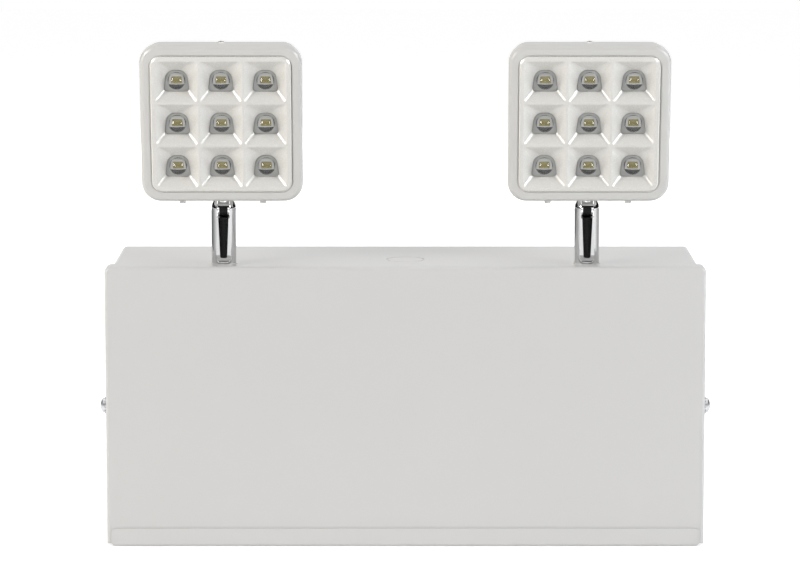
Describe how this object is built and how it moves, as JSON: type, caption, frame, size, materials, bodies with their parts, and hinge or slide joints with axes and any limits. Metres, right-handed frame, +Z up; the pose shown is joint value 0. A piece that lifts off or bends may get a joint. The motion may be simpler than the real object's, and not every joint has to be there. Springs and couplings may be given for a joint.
{
  "type": "emergency light",
  "caption": "White steel wall cabinet with a hinged front cover and two square lamp heads on chrome swivel posts; battery, transformer and board inside.",
  "frame": {"origin": "centre of the back box's flat back, where it meets the wall", "axes": "+X to the viewer's right along the cabinet, +Y into the wall, +Z up"},
  "size_m": [0.35, 0.1083, 0.2907],
  "materials": {
    "white_steel": "satin white powder coat",
    "zinc": "zinc plated",
    "battery_plastic": "moulded dark grey",
    "terminal_brass": "tinned",
    "board_green": "solder mask",
    "nylon": "natural nylon",
    "core_steel": "varnished laminations",
    "coil_tape": "coil tape",
    "black_plastic": "moulded",
    "can_sleeve": "shrink sleeve",
    "sink_aluminium": "extruded",
    "block_green": "moulded",
    "fuse_glass": "clear",
    "pilot_red": "tinted",
    "lead_red": "insulated wire",
    "lead_blue": "insulated wire",
    "lead_yellow": "insulated wire",
    "lead_black": "insulated wire",
    "nut_orange": "moulded",
    "chrome": "polished",
    "sleeve_black": "smooth tube",
    "lamp_white": "moulded white",
    "reflector_white": "moulded white, glossy",
    "lens_clear": "clear optic",
    "chip_phosphor": "phosphor",
    "board_white": "white solder mask",
    "screw_nickel": "nickel plated",
    "button_red": "moulded"
  },
  "bodies": {
    "cabinet": {"back_box": "white_steel", "cover_screws": "zinc", "cover_washers": "zinc", "cover_nuts": "zinc", "battery_case": "battery_plastic", "battery_terminals": "terminal_brass", "battery_strap": "zinc", "strap_screws": "zinc", "circuit_board": "board_green", "board_standoffs": "nylon", "board_screws": "zinc", "transformer_core": "core_steel", "transformer_coil": "coil_tape", "transformer_screws": "zinc", "relay": "black_plastic", "capacitors": "can_sleeve", "heat_sink": "sink_aluminium", "terminal_block": "block_green", "fuse": "fuse_glass", "fuse_clips": "terminal_brass", "test_switch": "black_plastic", "pilot_lamp": "pilot_red", "battery_leads": "lead_red", "lamp_leads": "lead_blue", "transformer_leads": "lead_yellow", "supply_leads": "lead_black", "wire_nuts": "nut_orange", "post_bushings": "nylon"},
    "cover": {"front_cover": "white_steel"},
    "test_button": {"test_button": "button_red"},
    "left_swivel": {"left_swivel_post": "chrome", "left_wire_sleeve": "sleeve_black", "left_tilt_pin": "chrome", "left_spring_washer": "zinc", "left_post_nut": "zinc"},
    "left_head": {"left_knuckle": "chrome", "left_knuckle_nut": "zinc", "left_rear_housing": "lamp_white", "left_front_frame": "lamp_white", "left_reflector": "reflector_white", "left_lenses": "lens_clear", "left_led_chips": "chip_phosphor", "left_lamp_board": "board_white", "left_lamp_board_screws": "zinc", "left_top_screw": "screw_nickel"},
    "right_swivel": {"right_swivel_post": "chrome", "right_wire_sleeve": "sleeve_black", "right_tilt_pin": "chrome", "right_spring_washer": "zinc", "right_post_nut": "zinc"},
    "right_head": {"right_knuckle": "chrome", "right_knuckle_nut": "zinc", "right_rear_housing": "lamp_white", "right_front_frame": "lamp_white", "right_reflector": "reflector_white", "right_lenses": "lens_clear", "right_led_chips": "chip_phosphor", "right_lamp_board": "board_white", "right_lamp_board_screws": "zinc", "right_top_screw": "screw_nickel"}
  },
  "joints": [
    {"name": "cover_swing", "type": "hinge", "parent": "cabinet", "child": "cover", "pos_m": [0, -0.102, -0.06965], "axis": [1, 0, 0], "range_deg": [0, 80]},
    {"name": "test_press", "type": "slide", "parent": "cabinet", "child": "test_button", "axis": [-1, 0, 0], "range_m": [0, 0.0015], "stiffness_N_per_m": 400, "springref_m": -0.001},
    {"name": "left_pan", "type": "hinge", "parent": "cabinet", "child": "left_swivel", "pos_m": [-0.10435, -0.0779, 0.08025], "axis": [0, 0, 1], "range_deg": [-170, 170]},
    {"name": "left_tilt", "type": "hinge", "parent": "left_swivel", "child": "left_head", "pos_m": [-0.10435, -0.0779, 0.11305], "axis": [1, 0, 0], "range_deg": [-60, 79]},
    {"name": "right_pan", "type": "hinge", "parent": "cabinet", "child": "right_swivel", "pos_m": [0.10435, -0.0779, 0.08025], "axis": [0, 0, 1], "range_deg": [-170, 170]},
    {"name": "right_tilt", "type": "hinge", "parent": "right_swivel", "child": "right_head", "pos_m": [0.10435, -0.0779, 0.11305], "axis": [1, 0, 0], "range_deg": [-60, 79]}
  ]
}
